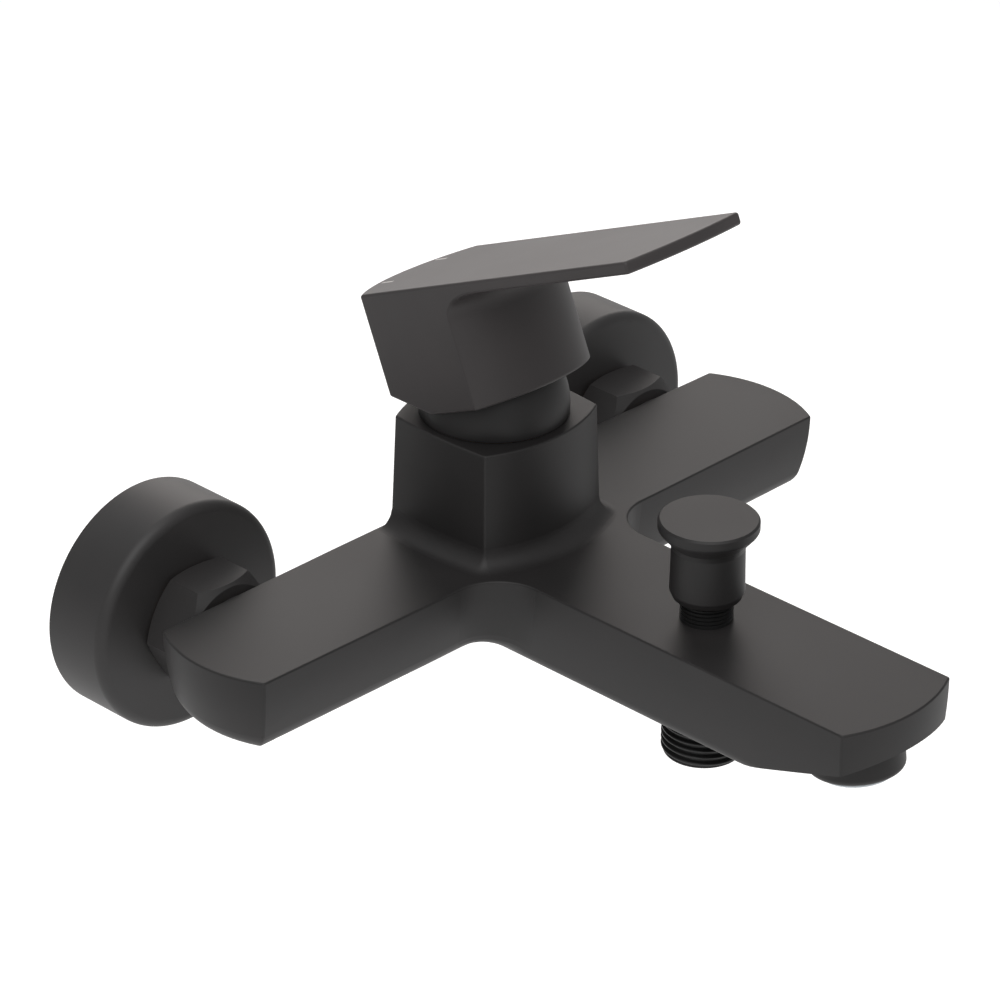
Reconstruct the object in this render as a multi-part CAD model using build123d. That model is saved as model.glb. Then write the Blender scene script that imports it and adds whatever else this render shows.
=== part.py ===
"""Wall mounted single lever bath mixer with a pull-up shower diverter.

Millimetres, +Z up, the wall is the plane y = 0 and the mixer stands out along -Y.
The origin is midway between the two wall tails.  Every part is drawn in the deck frame
(lever axis x = y = 0, flat top of the body z = 0) and moved to the wall frame on export.
"""
import os
from math import atan, cos, pi, radians, sin, tan

from build123d import *

# wall, unions and rosettes
inlet_pitch = 150.0
wall_to_lever_axis = 50.6
tail_offset = 6.0
inlet_drop = 11.7
tail_depth = 14.0
rosette_r = 30.2
rosette_depth = 19.1
rosette_wall = 1.8
nut_flats = 29.0
nut_front = 17.4
nut_back = 31.0

# body casting
arm_front = -20.8
arm_back = 16.6
arm_end_front = -20.2
arm_end_back = 15.9
arm_end = 103.6
arm_end_r = 35.0
arm_taper_start = 40.0
spout_half = 19.7
spout_tip = 138.6
spout_tip_r = 42.0
elbow_r = 13.0
rise_start = 97.5
tip_thickness = 9.6
corner_r = 0.8
edge_r = 0.45
tower_half = 20.1
tower_side_bow = 1.0
tower_front = 16.4
tower_front_bow = 5.2
tower_back = 14.9
tower_back_bow = 5.2
tower_spread = 0.8
tower_height = 30.6
tower_root_r = 5.0

# side walls seen end on: height of the bow, how far it leans in, radius of the chine below
arm_wall = (16.6, 2.2, 7.0)
spout_wall = (20.2, 1.4, 4.5)
# the round ends go a hair deeper, so their chine crosses the flat underside
arm_end_wall = (16.7, 2.2, 7.0)

# valve seat, water ways
seat_floor = -1.4
seat_r = 17.7
seat_thread_r = 18.7
seat_thread_z = 23.4
channel_r = 5.2
channel_z = -11.6
mixed_r = 4.2
mixed_z = -12.7
port_x = 9.0
port_y = -6.0
mixed_y = 6.0

# lever
pivot_z = 32.6
open_angle = 23.7
cap_r = 19.05
cap_wall = 1.35
cap_mouth = 12.8
cavity_r = 19.45
handle_half_back = 20.75
handle_half_tip = 19.95
handle_back = 13.3
handle_front = 16.2
handle_bow = 7.6
handle_reach = 83.1
handle_tip_bow = 1.9
handle_top = 35.9
handle_bottom = 3.4
plate_thickness = 3.2
handle_edge_r = 0.8
throat_length = 12.0
throat_height = 6.6
stem_half = 4.0
crank = 14.4

# diverter, shower outlet, aerator
diverter_y = -72.8
knob_r = 12.5
knob_top = 27.4
knob_bottom = 5.7
knob_body_r = 9.2
neck_r = 6.65
outlet_r = 10.45
outlet_bottom = -37.4
thread_pitch = 1.81
aerator_y = -119.7
aerator_r = 12.1
aerator_tilt = 7.0
aerator_bottom = -21.4
aerator_lip = 0.9

deck = Location((0, -wall_to_lever_axis, inlet_drop + tail_offset))


def rod(r, z0, z1, x=0.0, y=0.0):
    return Pos(x, y, (z0 + z1) / 2) * Cylinder(r, z1 - z0)


def tube(r_out, r_in, z0, z1, x=0.0, y=0.0):
    return rod(r_out, z0, z1, x, y) - rod(r_in, z0 - 1, z1 + 1, x, y)


def rod_y(r, y0, y1, x, z):
    return Pos(x, (y0 + y1) / 2, z) * Rot(90, 0, 0) * Cylinder(r, y1 - y0)


def rod_x(r, x0, x1, y, z):
    return Pos((x0 + x1) / 2, y, z) * Rot(0, 90, 0) * Cylinder(r, x1 - x0)


def block(x0, x1, y0, y1, z0, z1):
    return Pos((x0 + x1) / 2, (y0 + y1) / 2, (z0 + z1) / 2) * Box(x1 - x0, y1 - y0, z1 - z0)


def turned(points, x=0.0, y=0.0):
    """Solid of revolution about a vertical axis from (radius, height) points."""
    face = Plane.XZ * make_face(Polyline(*points, close=True))
    return Pos(x, y, 0) * revolve(face, Axis.Z)


def grooves(r, depth, z0, z1, pitch=thread_pitch):
    """V grooves that stand for a screw thread cut into a rod of radius r."""
    rings = []
    z = z0 + pitch / 2
    while z + pitch / 2 <= z1 + 0.01:
        tooth = [(r + 0.5, z - pitch * 0.42), (r - depth, z), (r + 0.5, z + pitch * 0.42)]
        rings.append(turned(tooth))
        z += pitch
    return rings


def wall_bottom(wall):
    height, lean, chine = wall
    return -height - chine * (1 - sin(2 * atan(lean / height)))


def wall_points(edge, sign, wall):
    """Side wall seen end on: a leaning bow, then a rounded chine into the underside."""
    height, lean, chine = wall
    angle = 2 * atan(lean / height)
    cu = lean + chine * cos(angle)
    cv = -height + chine * sin(angle)
    mid = (angle + pi / 2) / 2
    points = [
        (0, 0),
        (lean * 0.25, -height / 2),
        (lean, -height),
        (cu - chine * cos(mid), cv - chine * sin(mid)),
        (cu, wall_bottom(wall)),
    ]
    return [(edge + sign * du, dv) for du, dv in points]


def hull_section(low, high, wall):
    """Cross section between two top edges, closed by the flat top and the underside."""
    a = wall_points(low, 1, wall)
    b = wall_points(high, -1, wall)
    edges = [
        ThreePointArc(a[0], a[1], a[2]),
        ThreePointArc(a[2], a[3], a[4]),
        Line(a[4], b[4]),
        ThreePointArc(b[4], b[3], b[2]),
        ThreePointArc(b[2], b[1], b[0]),
        Line(b[0], a[0]),
    ]
    return make_face(edges)


def hull_disc(radius, x, y, wall):
    """Round end with the same wall curve turned about a vertical axis."""
    a = wall_points(radius, -1, wall)
    low = wall_bottom(wall)
    edges = [
        Line((0, 0), a[0]),
        ThreePointArc(a[0], a[1], a[2]),
        ThreePointArc(a[2], a[3], a[4]),
        Line(a[4], (0, low)),
        Line((0, low), (0, 0)),
    ]
    return Pos(x, y, 0) * revolve(Plane.XZ * make_face(edges), Axis.Z)


def hull_arms():
    """Straight middle and two arms that narrow slightly towards their round ends."""
    near = hull_section(arm_front, arm_back, arm_wall)
    far = hull_section(arm_end_front, arm_end_back, arm_wall)
    bar = extrude(Plane.YZ * near, amount=arm_taper_start, both=True)
    for side in (-1, 1):
        start = Plane(origin=(side * arm_taper_start, 0, 0), x_dir=(0, 1, 0), z_dir=(1, 0, 0)) * near
        end = Plane(origin=(side * arm_end, 0, 0), x_dir=(0, 1, 0), z_dir=(1, 0, 0)) * far
        bar += loft([start, end], ruled=True)
    cx = arm_end - arm_end_r
    cy = (arm_end_front + arm_end_back) / 2
    keep = block(-cx, cx, arm_front - 1, arm_back + 1, -40, 1)
    keep += hull_disc(arm_end_r, -cx, cy, arm_end_wall)
    keep += hull_disc(arm_end_r, cx, cy, arm_end_wall)
    return bar & keep


def hull_spout():
    """Straight spout with a round tip whose underside rises towards the mouth."""
    section = Plane.XZ * hull_section(-spout_half, spout_half, spout_wall)
    bar = extrude(section, amount=spout_tip + 1)
    low = wall_bottom(spout_wall)
    cy = -(spout_tip - spout_tip_r)
    keep = block(-30, 30, cy, 1, low - 1, 1) + hull_disc(spout_tip_r, 0, cy, spout_wall)
    slope = (low + tip_thickness) / (rise_start - spout_tip)
    under = Polyline(
        (-60, low), (-rise_start, low), (-spout_tip - 10, -tip_thickness + 10 * slope),
        (-spout_tip - 10, -40), (-60, -40), close=True,
    )
    under = make_face(under)
    knee = [v for v in under.vertices() if abs(v.X + rise_start) < 0.1]
    wedge = extrude(Plane.YZ * fillet(knee, 40), amount=40, both=True)
    return (bar & keep) - wedge


def is_elbow(edge):
    """True for the edges where the front wall of an arm meets the side of the spout."""
    middle = edge @ 0.5
    box = edge.bounding_box()
    return abs(abs(middle.X) - 19) < 6 and -30 < middle.Y < -14 and box.max.Z - box.min.Z > 0.4


def hull():
    shape = hull_arms() + hull_spout()
    shape = fillet([e for e in shape.edges() if is_elbow(e)], elbow_r)
    corners = []
    for e in shape.edges():
        box = e.bounding_box()
        outer = abs(e.center().X) > 90 or e.center().Y < -125
        if outer and box.max.Z > -0.1 and box.min.Z < -5:
            corners.append(e)
    shape = fillet(corners, corner_r)
    rim = [e for e in shape.edges() if e.bounding_box().min.Z > -0.01]
    return fillet(rim, edge_r)


def tower_plan(spread):
    h = tower_half + spread
    f = tower_front + spread
    b = tower_back + spread
    edges = [
        ThreePointArc((-h, -f), (0, -f - tower_front_bow), (h, -f)),
        ThreePointArc((h, -f), (h + tower_side_bow, 0), (h, b)),
        ThreePointArc((h, b), (0, b + tower_back_bow), (-h, b)),
        ThreePointArc((-h, b), (-h - tower_side_bow, 0), (-h, -f)),
    ]
    return make_face(edges)


def back_bow():
    """Radius and centre of the bow that carries the back of the tower down into the hull."""
    half = tower_half + tower_spread
    radius = (half * half + tower_back_bow ** 2) / (2 * tower_back_bow)
    return radius, tower_back + tower_spread + tower_back_bow - radius


def tower():
    """Tower with its hollow root, cut back to the outline of the hull behind it."""
    post = loft([tower_plan(tower_spread), Pos(0, 0, tower_height) * tower_plan(0)], ruled=True)
    corners = [e for e in post.edges() if e.bounding_box().max.Z - e.bounding_box().min.Z > 20]
    post = fillet(corners, 0.7)
    both = block(-60, 60, -60, 60, -3, 0) + post
    root = [e for e in both.edges() if abs(e.center().Z) < 0.01 and abs(e.center().X) < 30 and abs(e.center().Y) < 30]
    both = fillet(root, tower_root_r)
    lip = [e for e in both.edges() if e.bounding_box().min.Z > tower_height - 0.01]
    both = fillet(lip, edge_r)
    radius, cy = back_bow()
    reach = block(-30, 30, -30, arm_back - 1.1, -1, 50)
    reach += rod(radius, -1, 50, 0, cy) & block(-60, 60, 0, 60, -1, 50)
    return (both & reach) & block(-60, 60, -60, 60, 0, 50)


def inlet_boss(x):
    return rod_y(11.4, 6.0, nut_front - 0.7, x, -inlet_drop)


def water_ways():
    """Valve seat, hot and cold feeds along the arms, mixed water out to the diverter."""
    cuts = [rod(seat_r, seat_floor, tower_height + 1)]
    cuts.append(rod(seat_thread_r, seat_thread_z, tower_height + 1))
    for side in (-1, 1):
        x = side * inlet_pitch / 2
        near = side * port_x
        cuts.append(rod_y(8.75, 8.2, 20, x, -inlet_drop))
        cuts.append(rod_y(6.0, -6.0, 8.3, x, -inlet_drop))
        cuts.append(rod_x(channel_r, min(x, near), max(x, near), port_y, channel_z))
        cuts.append(rod(3.2, channel_z, 0, near, port_y))
    cuts.append(rod(4.0, mixed_z, 0, 0, mixed_y))
    cuts.append(rod_y(mixed_r, diverter_y, mixed_y, 0, mixed_z))
    return cuts


def diverter_cuts():
    """Bush hole, upper chamber over its shelf, lower chamber, outlet thread, way to the aerator."""
    y = diverter_y
    return [
        rod(6.3, -4.0, 1, 0, y),
        rod(7.6, -6.6, -3.2, 0, y),
        rod(5.3, -9.0, -3, 0, y),
        rod(8.6, -18.0, -8.0, 0, y),
        rod(9.7, -40.0, -17.5, 0, y),
        block(-5, 5, aerator_y, y - 6, -6.4, -3.2),
        rod(5.0, -10, -3.2, 0, aerator_y),
    ]


def aerator_frame():
    return Pos(0, aerator_y, 0) * Rot(-aerator_tilt, 0, 0)


def faucet_body():
    radius, cy = back_bow()
    half = tower_half + tower_spread
    boss = hull_disc(radius, 0, cy, arm_wall) & block(-half, half, 5, 30, -40, 1)
    body = hull() + boss
    body += tower()
    for side in (-1, 1):
        body += inlet_boss(side * inlet_pitch / 2)
    for cut in water_ways() + diverter_cuts():
        body -= cut
    body -= aerator_frame() * rod(11.3, -40, -7.8)
    body -= aerator_frame() * rod(12.35, -40, -13.5)
    return body


# ---- wall side: eccentric unions, nuts, rosettes ----

def wall_union(side):
    """Eccentric union: threaded tail in the wall, offset collar, threaded front for the nut."""
    x = side * inlet_pitch / 2
    tail_z = -inlet_drop - tail_offset
    wall = wall_to_lever_axis
    solid = rod_y(outlet_r, wall - 3, wall + tail_depth, x, tail_z)
    solid += rod_y(13.6, wall - 9, wall - 1.5, x, tail_z + 1.0)
    solid += rod_y(14.4, wall - 12, wall - 5, x, -inlet_drop - 1.5)
    solid += rod_y(13.2, 23.0, wall - 8, x, -inlet_drop)
    solid -= rod_y(7.6, wall - 10, wall + tail_depth + 1, x, tail_z)
    solid -= rod_y(9.4, 22.0, wall - 7, x, -inlet_drop)
    return solid


def union_nut(side):
    x = side * inlet_pitch / 2
    length = nut_back - nut_front
    plane = Plane(origin=(x, nut_back, -inlet_drop), x_dir=(1, 0, 0), z_dir=(0, -1, 0))
    corner = nut_flats / 2 / cos(pi / 6)
    nut = extrude(plane * RegularPolygon(corner, 6), amount=length)
    keep = [(0, 0), (corner - 2.4, 0), (corner, 1.4), (corner, length - 2.4), (corner - 3.0, length), (0, length)]
    cone = revolve(Plane.XZ * make_face(Polyline(*keep, close=True)), Axis.Z)
    nut &= Pos(x, nut_back, -inlet_drop) * Rot(90, 0, 0) * cone
    nut -= rod_y(13.3, nut_front + 1.9, nut_back + 1, x, -inlet_drop)
    return nut - rod_y(9.85, nut_front - 1, nut_back, x, -inlet_drop)


def inlet_tail(side):
    x = side * inlet_pitch / 2
    tail = rod_y(8.7, 8.3, 17.0, x, -inlet_drop)
    tail += rod_y(9.7, 16.75, nut_front + 2.5, x, -inlet_drop)
    tail += rod_y(12.9, nut_front + 2.0, 21.2, x, -inlet_drop)
    return tail - rod_y(6.2, 8, 22, x, -inlet_drop)


def union_washer(side):
    x = side * inlet_pitch / 2
    ring = rod_y(12.8, 21.2, 23.0, x, -inlet_drop) - rod_y(8.3, 21, 24, x, -inlet_drop)
    return ring


def strainer(side):
    x = side * inlet_pitch / 2
    disc = rod_y(8.2, 21.2, 21.8, x, -inlet_drop)
    for i in range(-3, 4):
        for j in range(-3, 4):
            if i * i + j * j <= 10:
                disc -= rod_y(0.75, 21, 22, x + 2 * i, -inlet_drop + 2 * j)
    return disc


def rosette(side):
    """Round cover that slides over the union and rests on the wall."""
    x = side * inlet_pitch / 2
    r, depth, w = rosette_r, rosette_depth, rosette_wall
    cup = Cylinder(r, depth)
    cup = fillet(cup.edges().sort_by(Axis.Z)[-1], 2.6)
    hollow = Pos(0, 0, -w) * Cylinder(r - w, depth)
    cup -= fillet(hollow.edges().sort_by(Axis.Z)[-1], 1.6)
    cup -= Cylinder(13.6, depth + 2)
    return Pos(x, wall_to_lever_axis - depth / 2, -inlet_drop) * Rot(90, 0, 0) * cup


# ---- ceramic valve in the tower ----

def ports(r_side, r_mixed, z0, z1):
    holes = [rod(r_side, z0, z1, s * port_x, port_y) for s in (-1, 1)]
    return holes + [rod(r_mixed, z0, z1, 0, mixed_y)]


def valve_base():
    base = rod(17.5, seat_floor, 6.5)
    for hole in ports(3.0, 3.5, -5, 10):
        base -= hole
    for x, y in seal_places():
        base -= tube(6.0, 3.9, seat_floor - 1, seat_floor + 1.9, x, y)
    return base


def seal_places():
    return [(-port_x, port_y), (port_x, port_y), (0, mixed_y)]


def valve_seal(index):
    x, y = seal_places()[index]
    return Pos(x, y, seat_floor + 0.95) * Torus(4.95, 0.9)


def fixed_disc():
    disc = rod(14.6, 6.5, 11.0)
    for hole in ports(2.8, 3.4, 5, 12):
        disc -= hole
    return disc


def slider_y():
    """Moving disc centre with the lever open; closed it is the same amount the other way."""
    return -crank * sin(radians(open_angle)) / 2


def moving_disc():
    y = slider_y()
    disc = rod(11.0, 11.05, 15.0, 0, y)
    disc -= block(-8.2, 8.2, y - 6.0, y + 0.5, 10, 13.2)
    return disc - block(-4.0, 4.0, y, y + 8.2, 10, 13.2)


def carrier():
    y = slider_y()
    pocket = 3.2
    top = rod(10.6, 15.0, 21.0, 0, y)
    return top - block(-pocket, pocket, 2 * y - pocket, 2 * y + pocket, 14, 22)


def valve_housing():
    shell = rod(17.5, 6.5, 25.6) - rod(15.95, 6, 24.1)
    shell += rod(14.6, 25.0, 33.0)
    return shell - rod(12.96, 20, 34)


def turret():
    post = rod(15.4, 21.4, 24.0) + rod(12.9, 23.5, 39.0)
    for side in (-1, 1):
        post += block(min(side * 10.9, side * 13.4), max(side * 10.9, side * 13.4), -6.5, 6.5, 15.4, 21.5)
    post -= block(-4.9, 4.9, -9.6, 9.6, 20, 40)
    return post - rod_x(2.52, -14, 14, 0, pivot_z)


def pivot_pin():
    return rod_x(2.5, -12.2, 12.2, 0, pivot_z)


def lever_pose(shape):
    """Parts of the lever are drawn about its pivot with the lever closed, then lifted open."""
    return Pos(0, 0, pivot_z) * Rot(-open_angle, 0, 0) * shape


def lever_stem():
    stem = Pos(0, 0, -crank) * Sphere(3.0)
    stem += rod(2.2, -crank, -4)
    stem += rod(3.6, -7.5, 0)
    stem += rod_x(6.0, -4.5, 4.5, 0, 0)
    stem += block(-stem_half, stem_half, -stem_half, stem_half, 0, 27.4)
    stem -= rod_x(2.55, -6, 6, 0, 0)
    return lever_pose(stem)


def ring_nut():
    nut = rod(18.6, 25.6, 30.1) + rod(16.3, 30, 33.6)
    nut -= rod(14.7, 25, 35)
    for k in range(4):
        nut -= Rot(0, 0, 45 + 90 * k) * block(13, 20, -1.6, 1.6, 28.6, 35)
    return nut


def dome_cap():
    """Round collar whose outside is a ball about the lever pivot, so the handle clears it."""
    ball = Pos(0, 0, pivot_z) * (Sphere(cap_r) - Sphere(cap_r - cap_wall))
    shell = ball & rod(25, tower_height + 0.2, 60)
    rim = rod(17.9, tower_height + 0.2, 34.2) & (Pos(0, 0, pivot_z) * Sphere(cap_r - 0.4))
    cap = shell + (rim - rod(16.35, 20, 40))
    return cap - rod(cap_mouth, 20, 70)


def handle_outline():
    hb, ht, c = handle_half_back, handle_half_tip, handle_back
    edges = [
        ThreePointArc((-hb, c), (0, c + handle_bow), (hb, c)),
        Line((hb, c), (ht, -handle_reach)),
        ThreePointArc((ht, -handle_reach), (0, -handle_reach - handle_tip_bow), (-ht, -handle_reach)),
        Line((-ht, -handle_reach), (-hb, c)),
    ]
    return make_face(edges)


def throat(front_r, underside, front_axis):
    """Long hollow blend from the bowed front of the block to the underside of the plate."""
    start = underside - throat_height
    end = front_r + throat_length
    edges = [
        Spline((front_r, start), (end, underside), tangents=((0, 1), (1, 0))),
        Line((front_r, start), (front_r - 2, start)),
        Line((front_r - 2, start), (front_r - 2, underside + 1)),
        Line((front_r - 2, underside + 1), (end, underside + 1)),
        Line((end, underside + 1), (end, underside)),
    ]
    return Pos(0, front_axis, 0) * revolve(Plane.XZ * make_face(edges), Axis.Z)


def handle():
    hb, bow = handle_half_back, handle_bow
    front_r = (hb * hb + bow * bow) / (2 * bow)
    front_axis = front_r - handle_front - bow
    outline = handle_outline()
    underside = handle_top - plate_thickness
    plate = extrude(Pos(0, 0, underside) * outline, amount=plate_thickness)
    post = extrude(Pos(0, 0, handle_bottom) * outline, amount=handle_top - handle_bottom)
    post &= rod(front_r, 0, 40, 0, front_axis)
    grip = plate + post
    grip += throat(front_r, underside, front_axis) & extrude(outline, amount=handle_top - 1)
    rise = 32 * tan(radians(open_angle))
    relief = Polyline((0.3, handle_bottom), (32.3, handle_bottom + rise), (32.3, -5), (0.3, -5), close=True)
    grip -= extrude(Plane.YZ * make_face(relief), amount=40, both=True)
    edges = [e for e in grip.edges() if e.length > 2.0]
    grip = fillet(edges, handle_edge_r)
    hub = rod(7.4, 20.2, 30)
    grip -= Sphere(cavity_r) + Pos(0, -1.8, 0) * Sphere(cavity_r) + (rod(15.5, 5, 29) - hub)
    grip -= block(-stem_half - 0.05, stem_half + 0.05, -stem_half - 0.05, stem_half + 0.05, 15, 27.6)
    grip -= rod_y(2.55, 0, 30, 0, 24.0)
    for side in (-1, 1):
        grip -= mark_block(side)
    return lever_pose(grip)


def mark_block(side):
    x = side * 9.5
    return block(x - 0.5, x + 0.5, 13.0, 17.2, handle_top - 0.25, handle_top)


def index_marks():
    return lever_pose(mark_block(-1) + mark_block(1))


def set_screw():
    screw = rod_y(2.5, stem_half + 0.02, 12.0, 0, 24.0)
    plane = Plane(origin=(0, 12.0, 24.0), x_dir=(1, 0, 0), z_dir=(0, 1, 0))
    screw -= extrude(plane * RegularPolygon(1.4, 6), amount=-3.0)
    return lever_pose(screw)


def screw_plug():
    return lever_pose(rod_y(2.5, 18.4, 20.7, 0, 24.0))


# ---- diverter, shower outlet, aerator ----

def diverter_bush():
    y = diverter_y
    bush = rod(6.25, -4.0, 0.5, 0, y) + rod(neck_r, 0, 5.1, 0, y)
    for groove in grooves(neck_r, 0.55, 0.5, 4.9, 1.1):
        bush -= Pos(0, y, 0) * groove
    return bush - rod(3.05, -5, 6, 0, y)


def diverter_stem():
    y = diverter_y
    stem = rod(3.0, -16.6, 24.0, 0, y) + rod(6.2, -16.6, -15.2, 0, y)
    return stem + rod(2.0, -19.2, -16.6, 0, y) + rod(3.6, -19.2, -17.8, 0, y)


def lower_washer():
    return tube(7.4, 2.05, -17.75, -16.6, 0, diverter_y)


def upper_washer():
    return tube(7.4, 3.05, -15.2, -14.1, 0, diverter_y)


def diverter_spring():
    turns = 6
    length = -4.1 - (-14.0)
    wire = 0.35
    coil = Helix((length - 2 * wire) / turns, length - 2 * wire, 4.2)
    start = Plane(origin=coil @ 0, z_dir=coil % 0)
    spring = sweep(start * Circle(wire), path=coil, is_frenet=True)
    return Pos(0, diverter_y, -14.0 + wire) * spring


def diverter_knob():
    r, b, top, low = knob_r, knob_body_r, knob_top, knob_bottom
    shape = [
        (0, low), (b - 2.2, low), (b - 0.6, low + 0.7), (b + 0.1, low + 2.4), (b - 0.1, top - 7.6),
        (b + 0.3, top - 6.2), (r - 0.3, top - 3.0), (r, top - 2.4), (r, top - 0.5), (r - 0.5, top), (0, top),
    ]
    knob = turned(shape, 0, diverter_y)
    return knob - rod(3.02, low - 1, 24.1, 0, diverter_y)


def shower_outlet():
    y = diverter_y
    top = wall_bottom(spout_wall) - 0.05
    nipple = rod(9.65, top - 1, -18.1, 0, y)
    male = rod(outlet_r, outlet_bottom, top, 0, y)
    nipple += chamfer(male.edges().sort_by(Axis.Z)[0], 0.8)
    nipple -= rod(5.5, -25, -17, 0, y)
    return nipple - rod(7.6, outlet_bottom - 1, -21.5, 0, y)


def aerator_ring():
    ring = rod(aerator_r, aerator_bottom, -13.7) + rod(11.22, -14.5, -9.6)
    ring = fillet(ring.edges().sort_by(Axis.Z)[0], 1.6)
    ring -= rod(10.45, aerator_bottom + 1.2, -9)
    return aerator_frame() * (ring - rod(9.7, -30, -9))


def aerator_insert():
    body = rod(10.4, aerator_bottom + 1.2, -10.6) + rod(9.65, aerator_bottom - aerator_lip, -18)
    body = fillet(body.edges().sort_by(Axis.Z)[0], 0.4)
    body -= rod(9.2, aerator_bottom + 3.4, -9)
    for count, radius in ((1, 0.0), (6, 2.5), (12, 5.0), (18, 7.5)):
        for k in range(count):
            hole = rod(0.85, -30, -9, radius, 0)
            body -= Rot(0, 0, 360 * k / count) * hole
    return aerator_frame() * body


def aerator_seal():
    return aerator_frame() * tube(10.9, 7.6, -9.6, -7.85)


PARTS = {
    "faucet_body": faucet_body,
    "valve_base": valve_base,
    "fixed_disc": fixed_disc,
    "moving_disc": moving_disc,
    "disc_carrier": carrier,
    "valve_housing": valve_housing,
    "turret": turret,
    "pivot_pin": pivot_pin,
    "lever_stem": lever_stem,
    "ring_nut": ring_nut,
    "dome_cap": dome_cap,
    "handle": handle,
    "index_marks": index_marks,
    "set_screw": set_screw,
    "screw_plug": screw_plug,
    "diverter_bush": diverter_bush,
    "diverter_stem": diverter_stem,
    "diverter_spring": diverter_spring,
    "diverter_knob": diverter_knob,
    "upper_washer": upper_washer,
    "lower_washer": lower_washer,
    "shower_outlet": shower_outlet,
    "aerator_ring": aerator_ring,
    "aerator_insert": aerator_insert,
    "aerator_seal": aerator_seal,
}
SIDED = {
    "wall_union": wall_union,
    "union_nut": union_nut,
    "inlet_tail": inlet_tail,
    "union_washer": union_washer,
    "strainer": strainer,
    "rosette": rosette,
}


def save(name, shape):
    export_step(shape.moved(deck), f"parts/{name}.step")
    print(name, len(shape.solids()), shape.is_valid, round(shape.volume))


def main():
    os.makedirs("parts", exist_ok=True)
    for name, make in PARTS.items():
        save(name, make())
    for index, name in enumerate(("seal_hot", "seal_cold", "seal_mixed")):
        save(name, valve_seal(index))
    for name, make in SIDED.items():
        save(f"{name}_left", make(-1))
        save(f"{name}_right", make(1))


main()
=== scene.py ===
from math import cos, pi, radians, sin

import bmesh
import bpy
from mathutils import Matrix, Vector


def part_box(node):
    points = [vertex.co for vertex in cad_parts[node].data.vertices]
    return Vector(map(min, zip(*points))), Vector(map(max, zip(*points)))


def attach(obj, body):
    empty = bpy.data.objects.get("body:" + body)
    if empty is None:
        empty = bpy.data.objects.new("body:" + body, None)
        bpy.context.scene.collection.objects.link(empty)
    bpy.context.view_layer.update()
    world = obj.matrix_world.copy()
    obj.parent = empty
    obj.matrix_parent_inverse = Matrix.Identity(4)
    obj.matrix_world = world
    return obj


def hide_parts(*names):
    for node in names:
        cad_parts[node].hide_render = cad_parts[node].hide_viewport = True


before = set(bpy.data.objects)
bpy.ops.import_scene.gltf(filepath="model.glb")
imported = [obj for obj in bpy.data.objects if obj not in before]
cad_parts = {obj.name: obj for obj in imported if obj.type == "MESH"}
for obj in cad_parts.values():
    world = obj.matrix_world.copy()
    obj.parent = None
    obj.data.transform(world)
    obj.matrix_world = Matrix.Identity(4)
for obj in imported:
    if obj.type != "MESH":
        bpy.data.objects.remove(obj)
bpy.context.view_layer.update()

MM = 0.001

# patches over which a colour drifts
COAT_PATCH = 26 * MM
METAL_PATCH = 9 * MM

# G1/2 pipe thread: pitch, depth, and the share of half a pitch that is flat at crest and root
THREAD_PITCH = 1.814 * MM
THREAD_DEPTH = 1.05 * MM
THREAD_FLAT = 0.12

# shower hose thread: lengths over which it runs in and out, and the bevel at its mouth
RUN_IN = 0.9 * MM
RUN_OUT = 1.6 * MM
BEVEL_HEIGHT = 0.8 * MM
BEVEL_SLOPE = 0.9
OUTLET_BORE = 7.6 * MM

# wall tail: crest radius, bore and number of turns
TAIL_CREST = 10.44 * MM
TAIL_BORE = 7.6 * MM
TAIL_TURNS = 7

AERATOR_TILT = radians(7)
FLOOR_GLOW = 0.35


# ---- helpers for materials ----

def linear(hexcode):
    """sRGB hex to the linear colour that a shader socket takes."""
    out = []
    for i in (0, 2, 4):
        c = int(hexcode[i:i + 2], 16) / 255.0
        out.append(c / 12.92 if c <= 0.04045 else ((c + 0.055) / 1.055) ** 2.4)
    return (*out, 1.0)


def add(tree, kind, settings=None, **links):
    """Add a node; settings are attributes or socket values, links are the sockets to plug in."""
    node = tree.nodes.new(kind)
    for key, value in (settings or {}).items():
        if key in node.inputs:
            node.inputs[key].default_value = value
        else:
            setattr(node, key, value)
    for key, source in links.items():
        tree.links.new(source, node.inputs[key.replace("_", " ")])
    return node


def new_material(name):
    """Material with an empty node tree."""
    mat = bpy.data.materials.new(name)
    mat.use_nodes = True
    mat.node_tree.nodes.clear()
    return mat, mat.node_tree


def finish_material(mat, tree, shader):
    """Plug the shader into the material's output."""
    out = tree.nodes.new("ShaderNodeOutputMaterial")
    tree.links.new(shader.outputs[0], out.inputs["Surface"])
    return mat


def mottle(tree, place, size, low, high):
    """Two close colours drifting into each other over patches of the given size."""
    cloud = add(tree, "ShaderNodeTexNoise", {"Scale": 1 / size, "Detail": 2.0}, Vector=place)
    ramp = add(tree, "ShaderNodeValToRGB", {}, Fac=cloud.outputs["Fac"])
    ramp.color_ramp.elements[0].position = 0.3
    ramp.color_ramp.elements[1].position = 0.7
    ramp.color_ramp.elements[0].color = linear(low)
    ramp.color_ramp.elements[1].color = linear(high)
    return cloud, ramp


def drifting_gloss(tree, cloud, rough):
    """Roughness that drifts between two values with the same patches as the colour."""
    return add(tree, "ShaderNodeMapRange", {"To Min": rough[0], "To Max": rough[1]},
               Value=cloud.outputs["Fac"])


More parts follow.
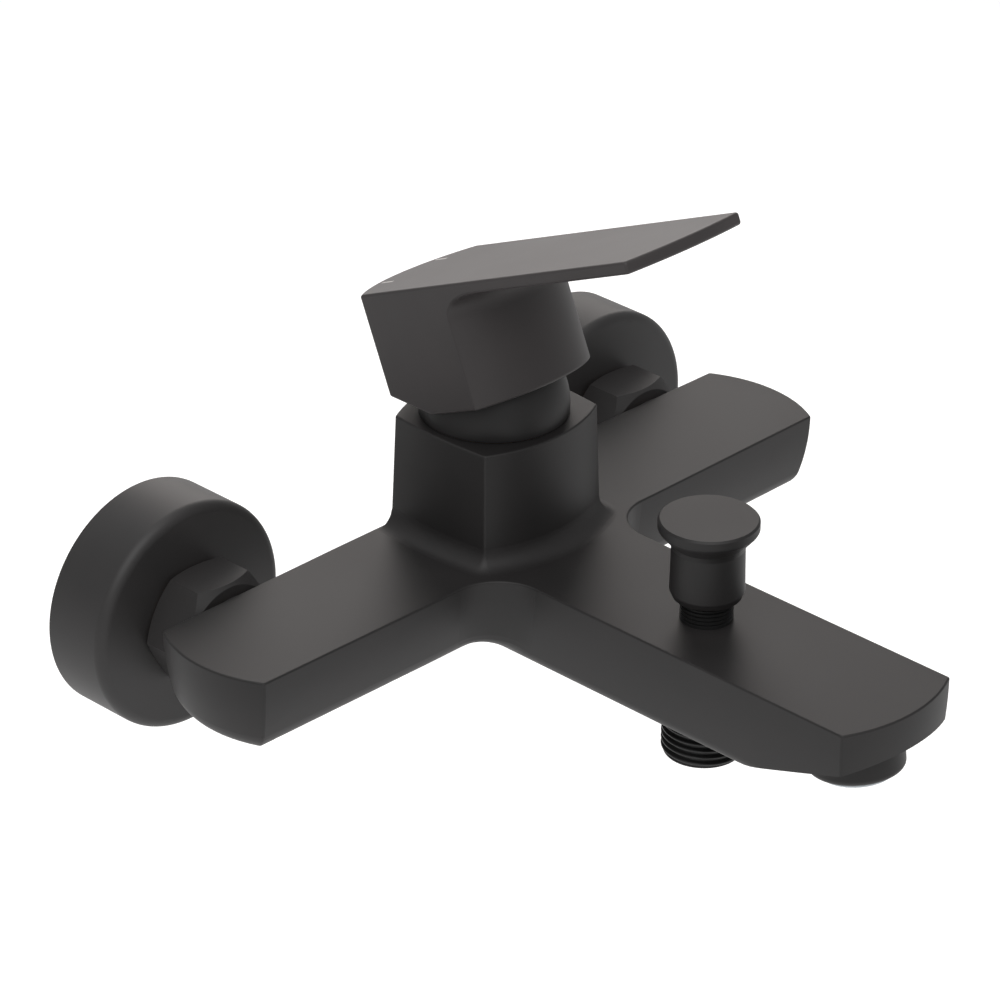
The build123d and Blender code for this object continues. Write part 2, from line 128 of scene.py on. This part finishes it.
def coated(name, low, high, rough, grain, depth, extra):
    """Painted or moulded surface: mottled colour, soft gloss that drifts, fine grain as a bump."""
    mat, tree = new_material(name)
    place = add(tree, "ShaderNodeTexCoord").outputs["Object"]
    cloud, ramp = mottle(tree, place, COAT_PATCH, low, high)
    grit = add(tree, "ShaderNodeTexNoise", {"Scale": 1 / grain, "Detail": 3.0, "Roughness": 0.6},
               Vector=place)
    gloss = drifting_gloss(tree, cloud, rough)
    bump = add(tree, "ShaderNodeBump", {"Strength": 0.35, "Distance": depth}, Height=grit.outputs["Fac"])
    shader = add(tree, "ShaderNodeBsdfPrincipled", extra, Base_Color=ramp.outputs["Color"],
                 Roughness=gloss.outputs["Result"], Normal=bump.outputs["Normal"])
    return finish_material(mat, tree, shader)


def metal(name, low, high, rough, line, depth):
    """Bare turned metal: fine tool lines as a bump, gloss that drifts from patch to patch."""
    mat, tree = new_material(name)
    place = add(tree, "ShaderNodeTexCoord").outputs["Object"]
    cloud, ramp = mottle(tree, place, METAL_PATCH, low, high)
    lines = add(tree, "ShaderNodeTexWave", {"Scale": 1 / line, "Distortion": 1.2, "bands_direction": "Y"},
                Vector=place)
    gloss = drifting_gloss(tree, cloud, rough)
    bump = add(tree, "ShaderNodeBump", {"Strength": 0.3, "Distance": depth}, Height=lines.outputs["Fac"])
    shader = add(tree, "ShaderNodeBsdfPrincipled", {"Metallic": 1.0}, Base_Color=ramp.outputs["Color"],
                 Roughness=gloss.outputs["Result"], Normal=bump.outputs["Normal"])
    return finish_material(mat, tree, shader)


# ---- materials ----

def satin_black_coat():
    """Black electro-coat over blasted brass: near black, faintly warm, broad soft sheen, fine grit."""
    return coated("satin_black_coat", "1c1b1b", "232121", (0.48, 0.56), 0.5 * MM, 0.006 * MM, {"IOR": 1.38})


def lever_painted_sheen_coat():
    """Satin black on the cast lever, painted a shade lighter and warmer than on the body: painted sheen for
    the brighter light the lever catches.
    """
    return coated("lever_painted_sheen_coat", "2d2a2a", "343030", (0.46, 0.54), 0.5 * MM, 0.006 * MM, {"IOR": 1.42})


def rosette_painted_light_coat():
    """Satin black on the pressed rosettes and the nuts, painted a touch lighter than on the body: painted
    light for the brighter light they catch.
    """
    return coated("rosette_painted_light_coat", "272626", "2d2b2b", (0.48, 0.56), 0.5 * MM, 0.006 * MM, {"IOR": 1.42})


def thread_painted_shade_coat():
    """The same coat on the threads and recessed parts, painted blacker as painted shade, and a little
    glossier.
    """
    return coated("thread_painted_shade_coat", "101010", "161616", (0.34, 0.46), 0.4 * MM, 0.006 * MM, {"IOR": 1.45})


def white_plastic():
    """Milky cartridge plastic, smooth from the mould."""
    return coated("white_plastic", "dcdbd6", "e6e5e1", (0.36, 0.46), 0.8 * MM, 0.004 * MM, {"IOR": 1.5})


def grey_plastic():
    """Pale bluish grey moulded plastic of the aerator."""
    return coated("grey_plastic", "a9b0b5", "b8bec3", (0.32, 0.42), 0.8 * MM, 0.004 * MM, {"IOR": 1.5})


def ceramic():
    """Lapped valve ceramic: off-white, dense, almost polished."""
    return coated("ceramic", "ece9e0", "f3f1ea", (0.14, 0.22), 0.3 * MM, 0.002 * MM, {"IOR": 1.75})


def black_rubber():
    """Dull black seal rubber."""
    return coated("black_rubber", "161616", "1d1d1d", (0.66, 0.78), 0.4 * MM, 0.01 * MM, {"IOR": 1.45})


def pale_mark():
    """Printed mark in a flat pale grey ink."""
    return coated("pale_mark", "a9a5a2", "b8b4b1", (0.6, 0.7), 0.3 * MM, 0.004 * MM, {"IOR": 1.45})


def brass():
    """Turned yellow brass with fine tool lines."""
    return metal("turned_brass", "c99d56", "d6ab66", (0.24, 0.34), 0.35 * MM, 0.01 * MM)


def steel():
    """Bright stainless steel with fine tool lines."""
    return metal("bright_steel", "b4b5b7", "c2c3c5", (0.2, 0.3), 0.3 * MM, 0.008 * MM)


# ---- geometry helpers ----

def new_piece(name, bm, material, body):
    """Smooth shaded piece made from a bmesh, riding on one body of the frame."""
    mesh = bpy.data.meshes.new(name)
    bmesh.ops.recalc_face_normals(bm, faces=bm.faces)
    bm.to_mesh(mesh)
    bm.free()
    for face in mesh.polygons:
        face.use_smooth = True
    obj = bpy.data.objects.new(name, mesh)
    bpy.context.scene.collection.objects.link(obj)
    mesh.materials.append(material)
    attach(obj, body)
    return obj


def sharpen(obj, angle):
    """Hard shading only over edges that turn more than the angle."""
    bm = bmesh.new()
    bm.from_mesh(obj.data)
    for edge in bm.edges:
        if len(edge.link_faces) == 2:
            edge.smooth = edge.calc_face_angle(0.0) < angle
    bm.to_mesh(obj.data)
    bm.free()


def thread_radius(turn, height, low, high, crest, depth):
    """Radius of a single start thread that runs out at both ends."""
    phase = (height / THREAD_PITCH + turn) % 1.0
    tooth = abs(phase * 2.0 - 1.0)
    tooth = min(max((tooth - THREAD_FLAT) / (1 - 2 * THREAD_FLAT), 0.0), 1.0)
    tooth = tooth * tooth * (3 - 2 * tooth)
    fade = min((height - low) / RUN_IN, (high - height) / RUN_OUT, 1.0)
    bevel = max(0.0, BEVEL_HEIGHT - (height - low)) * BEVEL_SLOPE
    return crest - depth * tooth * max(fade, 0.0) - bevel


def threaded_tube(name, node, bore, material, body):
    """Outside thread and plain neck about a vertical axis, with a bore, inside the box of its node."""
    (x0, y0, z0), (x1, y1, z1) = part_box(node)
    cx, cy, crest = (x0 + x1) / 2, (y0 + y1) / 2, (x1 - x0) / 2
    steps = 160
    row_height = 0.12 * MM
    rows = int((z1 - z0) / row_height)
    thread_top, neck_start, neck_r = z1 - 5.2 * MM, z1 - 5.1 * MM, crest - 0.82 * MM
    mouth_height, mouth_flare = 0.6 * MM, 0.5 * MM
    bm = bmesh.new()
    outer = []
    for j in range(rows + 1):
        z = z0 + (z1 - z0) * j / rows
        ring = []
        for i in range(steps):
            r = thread_radius(i / steps, z, z0, thread_top, crest - 0.01 * MM, THREAD_DEPTH)
            r = min(r, neck_r) if z > neck_start else r
            ring.append(bm.verts.new((cx + r * cos(2 * pi * i / steps), cy + r * sin(2 * pi * i / steps), z)))
        outer.append(ring)
    inner = []
    for z in (z0, z0 + mouth_height, z1):
        r = bore + (mouth_flare if z == z0 else 0.0)
        inner.append([bm.verts.new((cx + r * cos(2 * pi * i / steps), cy + r * sin(2 * pi * i / steps), z))
                      for i in range(steps)])
    loops = inner[::-1] + outer
    loops.append(inner[-1])
    for a, b in zip(loops, loops[1:]):
        for i in range(steps):
            bm.faces.new((a[i], a[(i + 1) % steps], b[(i + 1) % steps], b[i]))
    obj = new_piece(name, bm, material, body)
    sharpen(obj, radians(50))
    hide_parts(node)
    return obj


def shell(bm, centre, along, profile, steps=96):
    """Closed ring about an axis from (radius, distance) points; along is Y or Z."""
    loops = []
    for radius, reach in profile:
        ring = []
        for i in range(steps):
            u, v = radius * cos(2 * pi * i / steps), radius * sin(2 * pi * i / steps)
            place = (u, reach, v) if along == "Y" else (u, v, reach)
            ring.append(bm.verts.new(Vector(centre) + Vector(place)))
        loops.append(ring)
    for a, b in zip(loops, loops[1:] + loops[:1]):
        for i in range(steps):
            bm.faces.new((a[i], a[(i + 1) % steps], b[(i + 1) % steps], b[i]))


def collar(bm, centre, outside, bore, back, front):
    """Plain tube about an axis that points away from the wall."""
    shell(bm, centre, "Y", [(outside, back), (outside, front), (bore, front), (bore, back)])


def threaded_union(name, node):
    """Eccentric wall union: a tail with thread ridges, then collars whose axis steps up to the inlet's."""
    (x0, y0, _), (x1, y1, _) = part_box(node)
    x = (x0 + x1) / 2
    bm = bmesh.new()
    root = TAIL_CREST - THREAD_DEPTH
    outer = [(TAIL_CREST - 0.7 * MM, y1)]
    for k in range(TAIL_TURNS):
        near = y1 - 0.5 * MM - k * THREAD_PITCH
        outer += [(TAIL_CREST, near - 0.25 * MM), (TAIL_CREST, near - 0.45 * MM)]
        outer += [(root, near - 1.15 * MM), (root, near - 1.35 * MM)]
    outer += [(TAIL_CREST, -1.6 * MM), (TAIL_CREST, -3.0 * MM)]
    shell(bm, (x, 0, 0), "Y", outer + [(TAIL_BORE, -3.0 * MM), (TAIL_BORE, y1)])
    collar(bm, (x, 0, 1.0 * MM), 13.6 * MM, 8.6 * MM, -1.5 * MM, -9 * MM)
    collar(bm, (x, 0, 4.5 * MM), 14.4 * MM, 9.4 * MM, -5 * MM, -12 * MM)
    collar(bm, (x, 0, 6.0 * MM), 13.2 * MM, 9.4 * MM, -8 * MM, y0)
    obj = new_piece(name, bm, BRASS, "mixer")
    sharpen(obj, radians(25))
    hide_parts(node)


def aerator_face():
    """Pale insert that shows a thin lip below its dark ring: a rim, four inner rings and flat spokes."""
    (x0, y0, z0), (x1, _, _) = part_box("aerator_insert")
    bm = bmesh.new()
    rim, rim_bore, lip = 9.62 * MM, 8.22 * MM, 0.5 * MM
    shell(bm, (0, 0, 0), "Z", [(rim - lip, -lip), (rim, 0), (rim, 7 * MM), (rim_bore, 7 * MM),
                               (rim_bore, 0.9 * MM), (rim_bore, -lip)])
    ring_step, ring_width, ring_low, ring_high = 2.05 * MM, 1.0 * MM, 0.3 * MM, 5 * MM
    for k in range(4):
        inner = k * ring_step + 0.35 * MM
        outer = inner + ring_width
        profile = [(inner, ring_low), (outer, ring_low), (outer, ring_high), (inner, ring_high)]
        shell(bm, (0, 0, 0), "Z", profile)
    spokes = 12
    for k in range(spokes):
        spoke = bmesh.ops.create_grid(bm, x_segments=1, y_segments=1, size=0.5)["verts"]
        turn = Matrix.Rotation(2 * pi * k / spokes, 4, "Z")
        thin = Matrix.Diagonal((0.5 * MM, 8.0 * MM, 1, 1))
        bmesh.ops.transform(bm, verts=spoke, matrix=turn @ Matrix.Translation((0, 4.4 * MM, 0.5 * MM)) @ thin)
    insert_r = 9.65 * MM
    cy = y0 + insert_r * cos(AERATOR_TILT) + 0.4 * MM
    centre = Vector(((x0 + x1) / 2, cy, z0 + insert_r * sin(AERATOR_TILT)))
    place = Matrix.Translation(centre) @ Matrix.Rotation(-AERATOR_TILT, 4, "X")
    bmesh.ops.transform(bm, verts=bm.verts, matrix=place)
    obj = new_piece("aerator_face", bm, GREY, "mixer")
    sharpen(obj, radians(30))


# ---- finishes on the CAD parts ----

COAT, LEVER_PAINTED_SHEEN, ROSETTE_PAINTED_LIGHT, THREAD_PAINTED_SHADE = satin_black_coat(), lever_painted_sheen_coat(), rosette_painted_light_coat(), thread_painted_shade_coat()
BRASS, STEEL = brass(), steel()
CERAMIC, WHITE, GREY, RUBBER, MARK = ceramic(), white_plastic(), grey_plastic(), black_rubber(), pale_mark()
FINISHES = {
    COAT: ["faucet_body", "dome_cap", "diverter_knob", "aerator_ring"],
    # the lever's coat is painted lighter and warmer: painted sheen
    LEVER_PAINTED_SHEEN: ["handle"],
    # rosettes and nuts: a coat painted lighter, as painted light
    ROSETTE_PAINTED_LIGHT: ["union_nut_left", "union_nut_right", "rosette_left", "rosette_right"],
    # bush and plug: a coat painted blacker, as painted shade
    THREAD_PAINTED_SHADE: ["diverter_bush", "screw_plug"],
    BRASS: ["ring_nut", "diverter_stem", "wall_union_left", "wall_union_right", "inlet_tail_left",
            "inlet_tail_right"],
    STEEL: ["pivot_pin", "lever_stem", "set_screw", "diverter_spring", "strainer_left", "strainer_right"],
    CERAMIC: ["fixed_disc", "moving_disc"],
    WHITE: ["valve_base", "disc_carrier", "valve_housing", "turret"],
    GREY: ["aerator_insert"],
    RUBBER: ["seal_hot", "seal_cold", "seal_mixed", "upper_washer", "lower_washer", "aerator_seal",
             "union_washer_left", "union_washer_right"],
    MARK: ["index_marks"],
}
for material, nodes in FINISHES.items():
    for node in nodes:
        data = bpy.data.objects[node].data
        data.materials.clear()
        data.materials.append(material)

# the outlet thread takes the blacker coat: painted shade
threaded_tube("shower_outlet_thread", "shower_outlet", OUTLET_BORE, THREAD_PAINTED_SHADE, "mixer")
threaded_union("union_thread_left", "wall_union_left")
threaded_union("union_thread_right", "wall_union_right")
aerator_face()


# ---- studio ----

def white_floor():
    """Plain white sheet far below, bright enough to read as pure white."""
    mat, tree = new_material("white_sheet")
    settings = {"Roughness": 0.9, "Base Color": linear("fafafa")}
    settings.update({"Emission Color": linear("ffffff"), "Emission Strength": FLOOR_GLOW})
    shader = add(tree, "ShaderNodeBsdfPrincipled", settings)
    return finish_material(mat, tree, shader)


def flat(name, half, z, material):
    """Square sheet that lies level and isn't part of the mixer."""
    corners = ((-half, -half, z), (half, -half, z), (half, half, z), (-half, half, z))
    bm = bmesh.new()
    bm.faces.new([bm.verts.new(corner) for corner in corners])
    mesh = bpy.data.meshes.new(name)
    bm.to_mesh(mesh)
    bm.free()
    obj = bpy.data.objects.new(name, mesh)
    bpy.context.scene.collection.objects.link(obj)
    mesh.materials.append(material)


def soft_light(name, place, size, power, colour):
    """Large square softbox that faces the mixer."""
    data = bpy.data.lights.new(name, "AREA")
    data.size = size
    data.energy = power
    data.color = linear(colour)[:3]
    obj = bpy.data.objects.new(name, data)
    bpy.context.scene.collection.objects.link(obj)
    obj.location = place
    obj.rotation_euler = (Vector((0, -0.06, 0)) - Vector(place)).to_track_quat("-Z", "Y").to_euler()


flat("sheet", 30.0, -0.55, white_floor())
world = bpy.data.worlds.new("studio")
bpy.context.scene.world = world
world.use_nodes = True
sky = world.node_tree.nodes["Background"]
sky.inputs["Color"].default_value = linear("ffffff")
sky.inputs["Strength"].default_value = 0.45
soft_light("top", (0.1, 0.5, 1.5), 1.2, 4.0, "ffffff")
soft_light("back", (1.0, 1.1, 0.6), 1.0, 8.0, "fff8f4")
soft_light("front_top", (-0.58, -0.56, 1.2), 1.3, 14.0, "ffffff")
bpy.context.scene.view_settings.view_transform = "Standard"


# ---- camera ----

AZ, EL, ROLL = radians(-45.79), radians(28.24), radians(0.39)
FOCUS = Vector((7.39, 4.99 - 50.6, 17.7)) * MM
DISTANCE = 1.27918
back = Vector((sin(AZ) * cos(EL), -cos(AZ) * cos(EL), sin(EL)))
right = Vector((cos(AZ), sin(AZ), 0.0))
up = back.cross(right)
right, up = right * cos(ROLL) + up * sin(ROLL), up * cos(ROLL) - right * sin(ROLL)
lens = bpy.data.cameras.new("camera")
lens.sensor_width = 36.0
lens.lens = 5.021 * lens.sensor_width
lens.clip_start = 0.01
camera = bpy.data.objects.new("camera", lens)
bpy.context.scene.collection.objects.link(camera)
facing = Matrix((right, up, back)).transposed().to_4x4()
camera.matrix_world = Matrix.Translation(FOCUS + back * DISTANCE) @ facing
bpy.context.scene.camera = camera
